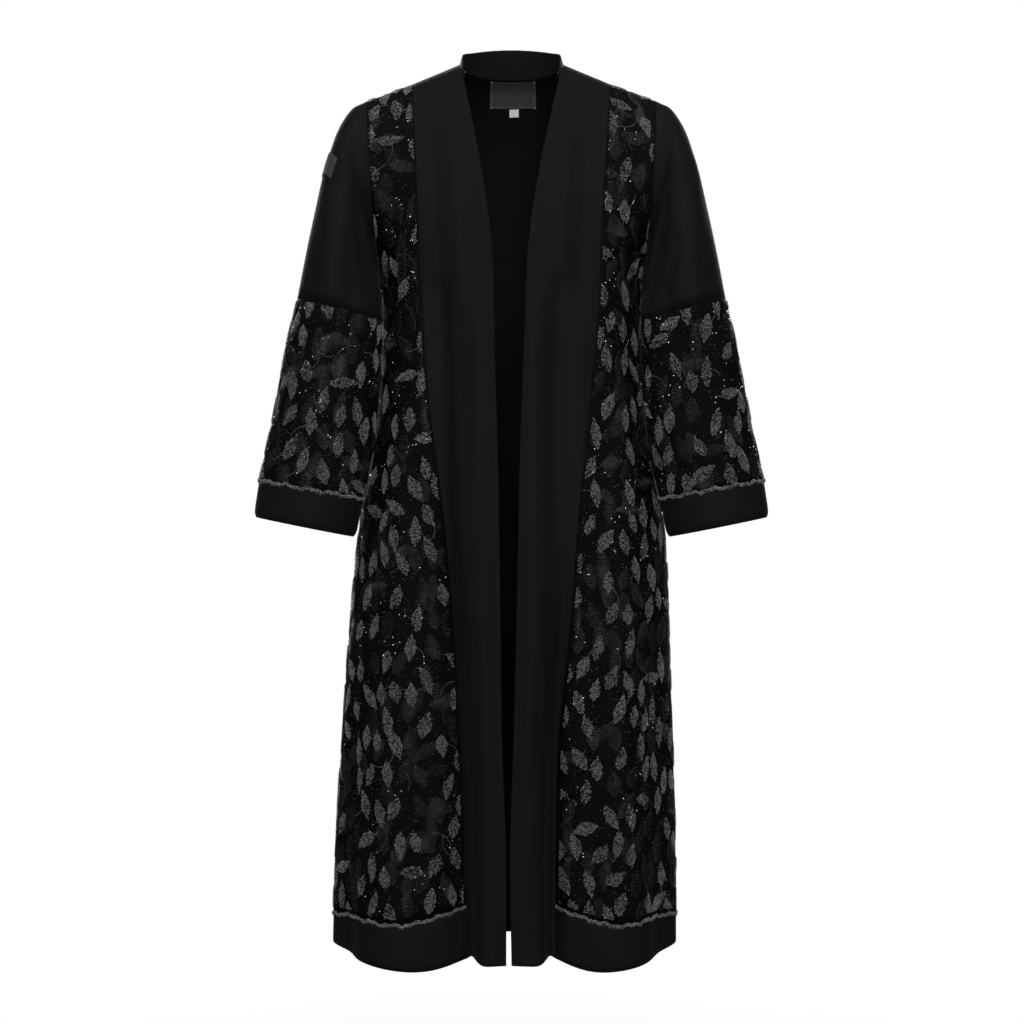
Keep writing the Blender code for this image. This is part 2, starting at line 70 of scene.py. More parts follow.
# Soft creases, seen from the front: both ends, half width and how far out. Negative is a trough.
# Columns: part, face, x and z of the top end, x and z of the low end, width, out.
CREASES = (
    ("body", "front", -0.046, -0.34, -0.036, -0.98, 0.0130, 0.0050),
    ("body", "front", -0.100, -0.32, -0.070, -1.24, 0.0150, -0.0105),
    ("body", "front", -0.052, -0.80, -0.040, -1.25, 0.0150, -0.0060),
    ("body", "front", -0.112, -0.12, -0.090, -0.42, 0.0120, -0.0034),
    ("body", "front", -0.084, -0.10, -0.064, -0.36, 0.0110, 0.0026),
    ("body", "front", 0.030, -0.34, 0.024, -0.98, 0.0130, 0.0048),
    ("body", "front", 0.066, -0.32, 0.054, -1.23, 0.0150, -0.0105),
    ("body", "front", 0.038, -0.84, 0.032, -1.25, 0.0130, -0.0056),
    ("body", "front", 0.098, -0.48, 0.078, -0.94, 0.0100, 0.0036),
    ("body", "front", 0.106, -0.12, 0.090, -0.38, 0.0120, -0.0032),
    ("body", "front", 0.080, -0.10, 0.066, -0.30, 0.0100, 0.0024),
    ("body", "front", -0.128, -0.62, -0.122, -1.18, 0.0110, -0.0034),
    ("body", "front", -0.150, -0.46, -0.160, -1.17, 0.0110, 0.0032),
    ("body", "front", -0.182, -0.56, -0.196, -1.20, 0.0100, -0.0034),
    ("body", "front", -0.214, -0.72, -0.226, -1.19, 0.0090, 0.0026),
    ("body", "front", 0.126, -0.58, 0.118, -1.17, 0.0110, -0.0032),
    ("body", "front", 0.150, -0.42, 0.154, -1.18, 0.0110, 0.0034),
    ("body", "front", 0.180, -0.60, 0.188, -1.19, 0.0100, -0.0034),
    ("body", "front", 0.206, -0.78, 0.212, -1.20, 0.0080, 0.0022),
    ("body", "back", -0.172, -0.30, -0.190, -1.20, 0.0130, -0.0044),
    ("body", "back", -0.118, -0.42, -0.128, -1.19, 0.0120, 0.0042),
    ("body", "back", -0.060, -0.26, -0.070, -1.21, 0.0130, -0.0040),
    ("body", "back", -0.012, -0.34, -0.008, -1.20, 0.0110, 0.0038),
    ("body", "back", 0.052, -0.30, 0.058, -1.21, 0.0130, -0.0044),
    ("body", "back", 0.108, -0.46, 0.116, -1.18, 0.0110, 0.0038),
    ("body", "back", 0.164, -0.32, 0.182, -1.20, 0.0130, -0.0042),
    ("left", "front", -0.226, -0.078, -0.206, -0.205, 0.0075, -0.0050),
    ("left", "front", -0.206, -0.190, -0.189, -0.300, 0.0080, -0.0060),
    ("left", "front", -0.256, -0.110, -0.248, -0.330, 0.0120, 0.0034),
    ("left", "front", -0.222, -0.240, -0.216, -0.345, 0.0100, -0.0042),
    ("left", "front", -0.240, -0.380, -0.252, -0.560, 0.0110, -0.0030),
    ("left", "front", -0.290, -0.400, -0.306, -0.600, 0.0100, 0.0024),
    ("left", "back", -0.222, -0.090, -0.196, -0.300, 0.0090, -0.0052),
    ("left", "back", -0.250, -0.140, -0.246, -0.360, 0.0120, 0.0034),
    ("left", "back", -0.236, -0.360, -0.256, -0.600, 0.0110, -0.0034),
    ("right", "front", 0.222, -0.080, 0.200, -0.223, 0.0075, -0.0056),
    ("right", "front", 0.200, -0.210, 0.183, -0.330, 0.0080, -0.0062),
    ("right", "front", 0.226, -0.250, 0.208, -0.350, 0.0085, -0.0046),
    ("right", "front", 0.254, -0.120, 0.250, -0.300, 0.0110, 0.0032),
    ("right", "front", 0.236, -0.390, 0.250, -0.570, 0.0110, -0.0032),
    ("right", "back", 0.220, -0.090, 0.198, -0.290, 0.0090, -0.0052),
    ("right", "back", 0.250, -0.160, 0.250, -0.370, 0.0120, 0.0032),
    ("right", "back", 0.240, -0.380, 0.262, -0.610, 0.0110, -0.0034),
    ("left", "both", -0.190, -0.250, -0.184, -0.310, 0.0120, 0.0026),
    ("right", "both", 0.190, -0.250, 0.184, -0.310, 0.0120, 0.0026),
    ("left", "both", -0.180, -0.350, -0.200, -0.580, 0.0140, 0.0015),
    ("right", "both", 0.180, -0.350, 0.200, -0.580, 0.0140, 0.0015),
)
CREASE_FACE_FADE = 0.030  # over what depth a crease fades round to the other face
ARMHOLE_FADE = 0.060  # sleeve creases start this far down from the armhole's top
ARM_CLEAR = 0.165  # beyond this from the middle, the body stays uncreased beside the sleeves

# Beadwork
BEAD_PITCH = 0.0023
LEAF_LENGTH = (0.032, 0.046)
LEAF_WIDTH = (0.0140, 0.0186)
LEAF_TILT = 17  # degrees, the usual lean to either side
LEAF_PAD = 0.0007  # how much higher a leaf's middle lies than its edge
MOTIF_ROOM = (0.0198, 0.0388)  # least distance between motifs, across and up
LEAF_SHARE = 0.68  # the other motifs are dark ribbed leaves
FLAT_LEAF_SHARE = 0.10  # leaves that lie on their side
RIB_PITCH = 0.0026
RIB_RADIUS = 0.0007
SEEDS_PER_MOTIF = 20
GEM_HEIGHT = 0.75  # of a bead, against its radius
FAN_SHARE = 0.55  # ribbed fans set between the motifs, for each motif
SPRAY_SHARE = 0.30  # of the motifs have a curved line of beads
SPRAY_BEAD = 0.0007
SEED_BEAD = (0.0008, 0.0009)  # radius and height
SEQUIN = (0.0016, 0.0004)  # radius and half its thickness
SEQUIN_LIFT = 0.0013
SEQUIN_TILT = 0.22
SEQUINS = {"side_front": 120, "sleeve": 90}

# Beaded edging and stitches
TAPE_STEP = 0.0030
TAPE_PROFILE = ((-0.0020, 0.0003), (-0.0012, 0.0008), (0.0012, 0.0008), (0.0020, 0.0003))
BRAID_STEP = 0.0019
BRAID_WAVE = 0.0118  # over what length a strand crosses and comes back
EDGE_STRANDS = 4
STITCH = (0.0013, 0.00026)  # half its length and half its width
STITCH_STEP = 0.0034
STITCH_INSET = 0.008  # in from the front edge

# Photograph's view
CAMERA_AT = (0.0007, -4.2, -0.6265)
CAMERA_SENSOR = 36.0
VIEW_WIDTH = 1.4336  # metres that the frame takes in at the coat's middle

# Studio. Columns of the lamps: name, place, size, power.
LAMPS = (
    ("key_left", (-3.0, -2.2, 0.9), 1.7, 30),
    ("key_right", (3.0, -2.2, 0.7), 1.7, 25),
    ("front", (0.2, -4.4, 1.1), 1.5, 122),
    ("top", (0.0, -0.5, 2.6), 1.6, 30),
    ("behind_left", (-1.1, 3.6, 0.7), 1.8, 84),
    ("behind_right", (1.2, 3.5, 0.5), 1.8, 56),
)
LAMPS_AIM = (0, 0, -0.62)
SURROUND_LIGHT = 0.10  # the camera sees the surround at full white
WHITE = (1, 1, 1, 1)
FLOOR_DROP = 1.42
FLOOR_RADIUS = 6.0
FLOOR_FADE = (0.4, 0.8)  # from this far out the floor turns clear, and by how much a metre


class Sum:
    """A shader value in a formula. Each operator adds a Math node."""

    def __init__(self, graph, socket):
        self.graph, self.socket = graph, socket

    def math(self, operation, *values, clamp=False):
        plain = [v.socket if isinstance(v, Sum) else v for v in values]
        settings = {"operation": operation, "use_clamp": clamp}
        return Sum(self.graph, self.graph.node("Math", settings, dict(enumerate(plain))).outputs[0])

    def __add__(self, other):
        return self.math("ADD", self, other)

    def __sub__(self, other):
        return self.math("SUBTRACT", self, other)

    def __mul__(self, other):
        return self.math("MULTIPLY", self, other)

    def __radd__(self, other):
        return self.math("ADD", other, self)

    def __rsub__(self, other):
        return self.math("SUBTRACT", other, self)

    def __rmul__(self, other):
        return self.math("MULTIPLY", other, self)

    def over(self, edge):
        """1 where the value is above an edge, else 0."""
        return self.math("GREATER_THAN", self, edge)

    def kept(self):
        """The value held between 0 and 1."""
        return self.math("ADD", self, 0.0, clamp=True)


class Graph:
    """The nodes of a material or of the surround."""

    def __init__(self, tree):
        self.nodes, self.links = tree.nodes, tree.links

    def feed(self, socket, value):
        value = value.socket if isinstance(value, Sum) else value
        if isinstance(value, bpy.types.NodeSocket):
            self.links.new(value, socket)
        else:
            socket.default_value = value

    def node(self, kind, settings, values):
        """A node of a kind, with its settings made first and its sockets fed after."""
        node = self.nodes.new("ShaderNode" + kind)
        for name, value in settings.items():
            setattr(node, name, value)
        for name, value in values.items():
            self.feed(node.inputs[name], value)
        return node


class Finish(Graph):
    """One material: its shader and the nodes that feed it."""

    def __init__(self, name, constants):
        self.material = bpy.data.materials.new(name)
        self.material.use_nodes = True
        super().__init__(self.material.node_tree)
        self.shader = self.nodes["Principled BSDF"]
        for socket, value in constants.items():
            self.shader.inputs[socket].default_value = value

    def place(self):
        return self.node("TexCoord", {}, {}).outputs["Object"]

    def noise(self, scale, detail=2.0, stretch=(1, 1, 1)):
        spot = self.node("Mapping", {}, {"Vector": self.place(), "Scale": stretch})
        values = {"Vector": spot.outputs[0], "Scale": scale, "Detail": detail}
        return Sum(self, self.node("TexNoise", {}, values).outputs["Fac"])

    def cells(self, scale):
        values = {"Vector": self.place(), "Scale": scale}
        return Sum(self, self.node("TexVoronoi", {}, values).outputs["Distance"])

    def attribute(self, name):
        node = self.node("Attribute", {"attribute_name": name}, {})
        return Sum(self, node.outputs["Fac"])

    def colour(self, factor, dark, light):
        """Base colour between two colours."""
        settings = {"data_type": "RGBA"}
        node = self.node("Mix", settings, {"Factor": factor, 6: (*dark, 1), 7: (*light, 1)})
        self.feed(self.shader.inputs["Base Color"], node.outputs[2])

    def rough(self, value):
        self.feed(self.shader.inputs["Roughness"], value)

    def relief(self, height, distance, strength=1.0):
        values = {"Height": height, "Distance": distance, "Strength": strength}
        bump = self.node("Bump", {}, values)
        self.feed(self.shader.inputs["Normal"], bump.outputs[0])


def crepe(name, dark, light):
    """Matte black crepe: a pebbled twist of fine threads with a faint sheen, its colour drifting in large
    soft patches of partly wear and partly painted uneven light.
    """
    constants = {
        "Specular IOR Level": 0.09,
        "Sheen Weight": 0.022,
        "Sheen Roughness": 0.40,
        "Sheen Tint": (0.75, 0.76, 0.80, 1),
    }
    cloth = Finish(name, constants)
    pebble = cloth.noise(1500.0, 2.0)
    slub = cloth.noise(260.0, 1.0, (1.0, 1.0, 0.12))
    wear_and_painted_light = cloth.noise(9.0, 3.0)
    # Large soft patches of lighter and darker colour: partly wear, partly painted uneven light
    cloth.colour((wear_and_painted_light * 0.6 + slub * 0.4).kept(), dark, light)
    cloth.rough(0.60 + 0.22 * pebble)
    cloth.relief(pebble * 0.7 + slub * 0.3, 0.00018, 0.6)
    return cloth.material


def beaded_net(name):
    """Black net worked all over with tiny dark beads, smooth in places."""
    cloth = Finish(name, {"Specular IOR Level": 0.07})
    beads = cloth.cells(560.0)
    patches = cloth.noise(55.0, 2.0)
    worked = ((patches - 0.42) * 9.0).kept()
    round_top = (1 - beads * 1.7).kept()
    threads = cloth.noise(1100.0, 1.0)
    # Colour is lightest at each bead's middle and darkest between beads: partly the beads' own tone
    # against the black net, partly painted highlight on the bead tops and painted shade in the gaps
    cloth.colour((round_top * worked).kept(), (0.0012, 0.0012, 0.0013), (0.0068, 0.0068, 0.0072))
    cloth.rough((0.80 - 0.45 * (round_top * worked)).kept())
    cloth.relief(round_top * worked + 0.15 * threads, 0.0007, 0.9)
    return cloth.material


def glass_beads(name, dark, light, roughness, metallic, gloss=0.5):
    """Beads whose tone changes from leaf to leaf and from bead to bead."""
    beads = Finish(name, {"Metallic": metallic, "Specular IOR Level": gloss})
    tone = beads.attribute("tone")
    speck = beads.noise(900.0, 1.0)
    beads.colour((tone * 0.8 + speck * 0.3).kept(), dark, light)
    beads.rough(roughness + 0.12 * speck)
    return beads.material


def woven(name, dark, light, bounds, border):
    """Close-woven label cloth with a plain line woven round its edge."""
    cloth = Finish(name, {"Specular IOR Level": 0.35, "Sheen Weight": 0.05})
    low, high = bounds
    axes = cloth.node("SeparateXYZ", {}, {"Vector": cloth.place()})
    across, up = Sum(cloth, axes.outputs["X"]), Sum(cloth, axes.outputs["Z"])
    edges = (across - low.x, high.x - across, up - low.z, high.z - up)
    near = edges[0]
    for edge in edges[1:]:
        near = near.math("MINIMUM", near, edge)
    line = near.over(border) * (1 - near.over(border * 1.45))
    rib = up.math("SINE", up * 9000.0) * 0.5 + 0.5
    wear = cloth.noise(160.0, 3.0)
    cloth.colour((line * 0.7 + wear * 0.35).kept(), dark, light)
    cloth.rough(0.55 + 0.2 * wear)
    cloth.relief(rib * 0.5 + wear * 0.5 + line, 0.00012, 0.7)
    return cloth.material


def coords(mesh):
    flat = np.empty(len(mesh.vertices) * 3, np.float32)
    mesh.vertices.foreach_get("co", flat)
    return flat.reshape(-1, 3).astype(float)


def set_coords(mesh, points):
    mesh.vertices.foreach_set("co", np.asarray(points, np.float32).ravel())
    mesh.update()


def sleeve_side(name):
    """Left or right for a piece of a sleeve, or None for a piece of the body."""
    if name.startswith(("sleeve", "cuff")):
        return "left" if name.endswith("left") or name == "sleeve_label" else "right"
    return None


def away(points, side):
    """Unit vectors that lead away from the middle of the body or of a sleeve."""
    if side is None:
        out = points / (*np.square(BODY_HALF), 1) * (1, 1, 0)
    else:
        turn = (SIGN[side], 1, 1)
        top, end = np.array(SLEEVE_TOP) * turn, np.array(SLEEVE_END) * turn
        along = (end - top) / np.linalg.norm(end - top)
        reach = points - top
        out = reach - (reach @ along)[:, None] * along
    return out / np.maximum(np.linalg.norm(out, axis=1), 1e-6)[:, None]


def quad_wall(name):
    """A node's wall joined back into quads, its skins marked and its corners creased."""
    wall = bmesh.new()
    wall.from_mesh(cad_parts[name].data)
    bmesh.ops.remove_doubles(wall, verts=wall.verts, dist=SAME_POINT)
    bmesh.ops.join_triangles(
        wall,
        faces=wall.faces,
        angle_face_threshold=JOIN_ANGLE,
        angle_shape_threshold=math.pi,
        topology_influence=JOIN_ORDER,
    )
    for face in wall.faces:
        short = sum(edge.calc_length() < RIM_EDGE for edge in face.edges)
        face.material_index = RIM if short >= len(face.verts) - 2 else OUTER
    todo = {f for f in wall.faces if f.material_index != RIM}
    while todo:
        skin, fresh = set(), [todo.pop()]
        while fresh:
            face = fresh.pop()
            skin.add(face)
            beside = {f for edge in face.edges for f in edge.link_faces} & todo
            todo -= beside
            fresh += beside
        centres = np.array([f.calc_center_median() for f in skin])
        normals = np.array([f.normal for f in skin])
        facing = (away(centres, sleeve_side(name)) * normals).sum()
        for face in skin:
            face.material_index = OUTER if facing > 0 else INNER
    crease = wall.edges.layers.float.new("crease_edge")
    for edge in wall.edges:
        kinds = [f.material_index for f in edge.link_faces]
        corner = kinds == [RIM, RIM] and edge.calc_face_angle() > math.radians(45)
        edge[crease] = 1.0 if len(set(kinds)) == 2 or corner else 0.0
    return wall


def piece_object(name, mesh, materials):
    """Links a finished piece with its materials and rides it on the coat."""
    for material in materials:
        mesh.materials.append(material)
    piece = bpy.data.objects.new(name, mesh)
    bpy.context.scene.collection.objects.link(piece)
    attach(piece, BODY)
    return piece


def rounded(wall, name, levels):
    """A smooth mesh through the wall's own points, by subdivision."""
    mesh = bpy.data.meshes.new(name)
    wall.to_mesh(mesh)
    wall.free()
    stand = bpy.data.objects.new(name + "_stand", mesh)
    bpy.context.scene.collection.objects.link(stand)
    smooth = stand.modifiers.new("smooth", "SUBSURF")
    smooth.levels = smooth.render_levels = 1
    goal = coords(mesh)
    for _ in range(FIT_PASSES):
        graph = bpy.context.evaluated_depsgraph_get()
        now = coords(stand.evaluated_get(graph).data)[: len(goal)]
        set_coords(mesh, coords(mesh) + goal - now)
    smooth.levels = smooth.render_levels = levels
    graph = bpy.context.evaluated_depsgraph_get()
    finished = bpy.data.meshes.new_from_object(stand.evaluated_get(graph))
    bpy.data.objects.remove(stand)
    finished.name = name
    return finished


def ease(values):
    values = np.clip(values, 0, 1)
    return values * values * (3 - 2 * values)


def crease_cloth(mesh, name):
    """Moves a smooth wall in and out along its soft creases."""
    side = sleeve_side(name)
    points = coords(mesh)
    lift = np.zeros(len(points))
    middle = -0.04 if side else 0.0
    for part, face, x_top, z_top, x_low, z_low, width, out in CREASES:
        if part != (side or "body"):
            continue
        start, end = np.array((x_top, z_top)), np.array((x_low, z_low))
        run = end - start
        share = ((points[:, ::2] - start) @ run) / (run @ run)
        near = start + np.clip(share, 0, 1)[:, None] * run
        gap = np.linalg.norm(points[:, ::2] - near, axis=1)
        bend = np.exp(-((gap / width) ** 2)) * ease(share / 0.25 + 0.5) * ease((1 - share) / 0.25 + 0.5)
        behind = (points[:, 1] - middle) / CREASE_FACE_FADE
        shown = {"front": ease(-behind), "back": ease(behind), "both": 1.0}[face]
        lift += out * bend * shown
    if side:
        top = np.array(SLEEVE_TOP) * (SIGN[side], 1, 1)
        end = np.array(SLEEVE_END) * (SIGN[side], 1, 1)
        along = (end - top) / np.linalg.norm(end - top)
        lift *= ease(((points - top) @ along + ARMHOLE_FADE) / ARMHOLE_FADE)
    else:
        near_arm = ease((np.abs(points[:, 0]) - ARM_CLEAR) / 0.02) * ease((points[:, 2] + 0.36) / 0.04)
        lift *= 1 - near_arm
    set_coords(mesh, points + away(points, side) * lift[:, None])


def cloth_piece(name, outside, inside):
    """One sewn piece of the coat, which stands for its node."""
    kind = name.rsplit("_", 1)[0] if name.endswith(("_left", "_right")) else name
    mesh = rounded(quad_wall(name), name + "_cloth", CLOTH_LEVELS.get(kind, 2))
    crease_cloth(mesh, name)
    mesh.shade_smooth()
    mesh.set_sharp_from_angle(angle=math.radians(55))
    piece = piece_object(name + "_cloth", mesh, (outside, inside, outside))
    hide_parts(name)
    return piece, kind


class Panel:
    """The outer skin of a piece as a grid, with rows up the cloth and columns across it."""

    def __init__(self, mesh, closed):
        skin = bmesh.new()
        skin.from_mesh(mesh)
        rest = [f for f in skin.faces if f.material_index != OUTER]
        bmesh.ops.delete(skin, geom=rest, context="FACES")
        skin.normal_update()
        self.closed = closed
        lines = self.lines(skin)
        self.points = np.array([[v.co for v in line] for line in lines])
        self.normals = np.array([[v.normal for v in line] for line in lines])
        self.rows, self.columns = self.points.shape[:2]
        skin.free()

    def first_line(self, skin):
        """The lowest row: from the corner nearest the front, or right round a sleeve."""
        if self.closed:
            rim = [v for v in skin.verts if v.is_boundary]
            start = max(rim, key=lambda v: abs(v.co.x) - v.co.z)
            ways = [e.other_vert(start) for e in start.link_edges if e.is_boundary]
            line = [start, min(ways, key=lambda v: v.co.y)]
        else:
            corners = [v for v in skin.verts if len(v.link_faces) == 1]
            low = sorted(corners, key=lambda v: v.co.z)[:2]
            start = min(low, key=lambda v: abs(v.co.x))
            ways = [e.other_vert(start) for e in start.link_edges]
            line = [start, min(ways, key=lambda v: abs(v.co.z - start.co.z) / abs(v.co.x - start.co.x))]
        while True:
            last, before = line[-1], line[-2]
            if not self.closed and len(last.link_faces) == 1:
                return line
            on = [
                e.other_vert(last)
                for e in last.link_edges
                if e.is_boundary and e.other_vert(last) != before
            ]
            line.append(on[0])
            if on[0] == line[0]:
                return line

    def lines(self, skin):
        """All the rows of vertices, found by walking from quad to quad."""
        lines, used = [self.first_line(skin)], set()
        while True:
            upper = []
            for a, b in zip(lines[-1], lines[-1][1:]):
                shared = [f for f in a.link_faces if f in b.link_faces and f not in used]
                if not shared:
                    return lines
                face = shared[0]
                used.add(face)
                for vert, other in ((a, b), (b, a)):
                    step = [
                        e.other_vert(vert)
                        for e in vert.link_edges
                        if e in face.edges and e.other_vert(vert) != other
                    ][0]
                    if vert is b or not upper:
                        upper.append(step)
            lines.append(upper)

    def at(self, rows, columns):
        """Points and unit normals at fractional rows and columns."""
        rows = np.clip(rows, 0, self.rows - 1.001)
        span = self.columns - 1
        columns = np.mod(columns, span) if self.closed else np.clip(columns, 0, span - 0.001)
        i, j = rows.astype(int), columns.astype(int)
        s, t = (rows - i)[..., None], (columns - j)[..., None]

        def blend(grid):
            low = grid[i, j] * (1 - t) + grid[i, j + 1] * t
            high = grid[i + 1, j] * (1 - t) + grid[i + 1, j + 1] * t
            return low * (1 - s) + high * s

        normals = blend(self.normals)
        return blend(self.points), normals / np.linalg.norm(normals, axis=-1)[..., None]

    def frame_at(self, rows, columns):
        """How the surface runs at places of the grid: steps of a column and of a row, the two
        unit directions across and up, and the normal."""
        rows, columns = np.atleast_1d(rows).astype(float), np.atleast_1d(columns).astype(float)
        rows = np.clip(rows, 0.5, self.rows - 1.6)
        if not self.closed:
            columns = np.clip(columns, 0.5, self.columns - 1.6)
        right = self.at(rows, columns + 0.5)[0] - self.at(rows, columns - 0.5)[0]
        rise = self.at(rows + 0.5, columns)[0] - self.at(rows - 0.5, columns)[0]
        normal = self.at(rows, columns)[1]
        up = rise / np.linalg.norm(rise, axis=1)[:, None]
        across = np.cross(up, normal)
        across *= np.sign((across * right).sum(1))[:, None]
        return right, rise, across / np.linalg.norm(across, axis=1)[:, None], up, normal

    def beside(self, row, column, across, up):
        """Grid places that lie some metres across and up from a spot."""
        right, rise, side, top, _ = (v[0] for v in self.frame_at(row, column))
        steps = np.array(((right @ side, rise @ side), (right @ top, rise @ top)))
        moves = np.linalg.solve(steps, np.array((across, up)))
        return row + moves[1], column + moves[0]

    def inside(self, rows, columns, margin):
        """Which grid places lie on the panel, clear of its edges by a share of a cell."""
        good = (rows > margin) & (rows < self.rows - 1 - margin)
        if not self.closed:
            good &= (columns > margin) & (columns < self.columns - 1 - margin)
        return good

    def scatter(self, count, chance):
        """Grid places spread evenly over the cloth by chance."""
        right = self.points[:-1, 1:] - self.points[:-1, :-1]
        rise = self.points[1:, :-1] - self.points[:-1, :-1]
        area = np.linalg.norm(np.cross(right, rise), axis=2)
        cells = chance.choice(area.size, count, p=(area / area.sum()).ravel())
        inside = chance.random((2, count))
        return cells // area.shape[1] + inside[0], cells % area.shape[1] + inside[1]

    def row_line(self, row, spacing):
        """Grid places evenly spaced along a row."""
        columns = np.arange(self.columns * 8 - 7) / 8
        return self.even(np.full(len(columns), float(row)), columns, spacing, 0.0)

    def column_line(self, column, spacing, inset):
        """Grid places evenly spaced up a column, some way across from it."""
        rows = np.arange(self.rows * 8 - 7) / 8
        return self.even(rows, np.full(len(rows), float(column)), spacing, inset)

    def even(self, rows, columns, spacing, shift):
        """Places with equal steps between them, on a line some way across from another."""
        moved = [self.beside(r, c, shift, 0.0) for r, c in zip(rows, columns)]
        rows, columns = np.array(moved).T
        points = self.at(rows, columns)[0]
        run = np.concatenate(([0], np.cumsum(np.linalg.norm(np.diff(points, axis=0), axis=1))))
        count = max(int(run[-1] / spacing), 2)
        marks = (np.arange(count) + 0.5) * run[-1] / count
        return np.interp(marks, run, rows), np.interp(marks, run, columns)


def gem_shape(sides):
    """The simplest closed bead of unit radius: one ring of points between two poles."""
    gem = bmesh.new()
    bmesh.ops.create_uvsphere(gem, u_segments=sides, v_segments=2, radius=1)
    bmesh.ops.triangulate(gem, faces=gem.faces)
    gem.verts.ensure_lookup_table()
    points = np.array([v.co for v in gem.verts]) * (1, 1, GEM_HEIGHT)
    faces = np.array([[v.index for v in f.verts] for f in gem.faces])
    gem.free()
    return points, faces


def strew(name, shape, centres, axes, tones, material):
    """One joined mesh of a shape set down many times. Axes are the three scaled directions."""
    points, faces = shape
    count, size = len(centres), len(points)
    placed = centres[:, None] + np.einsum("pk,nkx->npx", points, axes)
    indices = faces[None] + np.arange(count)[:, None, None] * size
    mesh = bpy.data.meshes.new(name)
    mesh.from_pydata(placed.reshape(-1, 3), [], indices.reshape(-1, 3).tolist())
    tone = mesh.attributes.new("tone", "FLOAT", "POINT")
    tone.data.foreach_set("value", np.repeat(tones, size).astype(np.float32))
    mesh.shade_smooth()
    return piece_object(name, mesh, (material,))


def cords(name, lines, radius, sides, material):
    """One joined mesh of thin cords. Each line is its points and the surface's normals there."""
    verts, faces, tones = [], [], []
    for points, normals, tone in lines:
        along = np.gradient(points, axis=0)
        along /= np.linalg.norm(along, axis=1)[:, None]
        side = np.cross(along, normals)
        start = len(verts)
        for k in range(len(points)):
            thin = radius * (0.45 if k in (0, len(points) - 1) else 1.0)
            for j in range(sides):
                turn = 2 * math.pi * j / sides
                verts.append(points[k] + thin * (math.cos(turn) * side[k] + math.sin(turn) * normals[k]))
        rings = len(points)
        for k in range(rings - 1):
            for j in range(sides):
                a, b = start + k * sides + j, start + k * sides + (j + 1) % sides
                faces.append((a, a + sides, b + sides, b))
        faces.append([start + j for j in range(sides)])
        faces.append([start + (rings - 1) * sides + j for j in reversed(range(sides))])
        tones += [tone] * (rings * sides)
    mesh = bpy.data.meshes.new(name)
    mesh.from_pydata(verts, [], faces)
    attribute = mesh.attributes.new("tone", "FLOAT", "POINT")
    attribute.data.foreach_set("value", np.array(tones, np.float32))
    work = bmesh.new()
    work.from_mesh(mesh)
    bmesh.ops.recalc_face_normals(work, faces=work.faces)
    work.to_mesh(mesh)
    work.free()
    mesh.shade_smooth()
    return piece_object(name, mesh, (material,))


def motif_places(panel, chance):
    """Places for motifs, thrown on the panel and kept where there is room."""
    rows, columns = panel.scatter(9000, chance)
    points = panel.at(rows, columns)[0]
    _, _, across, up, _ = panel.frame_at(rows, columns)
    kept, taken = [], np.empty((0, 3))
    for k in range(len(rows)):
        gaps = taken - points[k]
        room = np.hypot(gaps @ across[k] / MOTIF_ROOM[0], gaps @ up[k] / MOTIF_ROOM[1])
        other_side = np.linalg.norm(gaps, axis=1) > 0.05
        if len(taken) and (room + other_side).min() < 1:
            continue
        taken = np.vstack((taken, points[k]))
        kept.append((rows[k], columns[k]))
    return kept


def leaf_width(share, width):
    """Half width of a leaf at a share of its length: full low down, drawn to a point."""
    return width / 2 * np.power(np.clip(np.sin(math.pi * np.power(share, 0.88)), 0, 1), 1.05)


def leaf_frame(chance):
    """Length, width, bend and tilt of one leaf."""
    length = chance.uniform(*LEAF_LENGTH)
    width = chance.uniform(*LEAF_WIDTH)
    bend = chance.uniform(-0.0022, 0.0022)
    tilt = chance.normal(0, math.radians(LEAF_TILT))
    if chance.random() < FLAT_LEAF_SHARE:
        tilt = chance.choice((-1, 1)) * math.radians(chance.uniform(55, 95))
    if chance.random() < 0.3:
        tilt += math.pi
    return length, width, bend, tilt


def turned(x, y, tilt):
    return x * math.cos(tilt) - y * math.sin(tilt), x * math.sin(tilt) + y * math.cos(tilt)


def bead_leaf(panel, spot, chance):
    """Grid places, heights and tones of the beads that fill one leaf."""
    length, width, bend, tilt = leaf_frame(chance)
    pitch = BEAD_PITCH
    ys = np.arange(-length / 2, length / 2, pitch * 0.87)
    xs = np.arange(-width / 2 - pitch, width / 2 + pitch, pitch)
    grid_x, grid_y = np.meshgrid(xs, ys)
    grid_x = grid_x + (np.arange(len(ys)) % 2)[:, None] * pitch / 2
    x = grid_x.ravel() + chance.normal(0, pitch * 0.10, grid_x.size)
    y = grid_y.ravel() + chance.normal(0, pitch * 0.10, grid_x.size)
    share = y / length + 0.5
    half = leaf_width(np.clip(share, 0, 1), width)
    keep = (np.abs(x) < half) & (share > 0) & (share < 1)
    x, y, share, half = x[keep], y[keep], share[keep], half[keep]
    pad = LEAF_PAD * (1 - (x / half) ** 2)
    x = x + bend * (1 - (2 * share - 1) ** 2)
    across, up = turned(x, y, tilt)
    rows, columns = panel.beside(*spot, across, up)
    good = panel.inside(rows, columns, 0.4)
    tone = chance.uniform(0.30, 0.55) + chance.normal(0, 0.42, len(rows))
    return rows[good], columns[good], pad[good], tone[good]


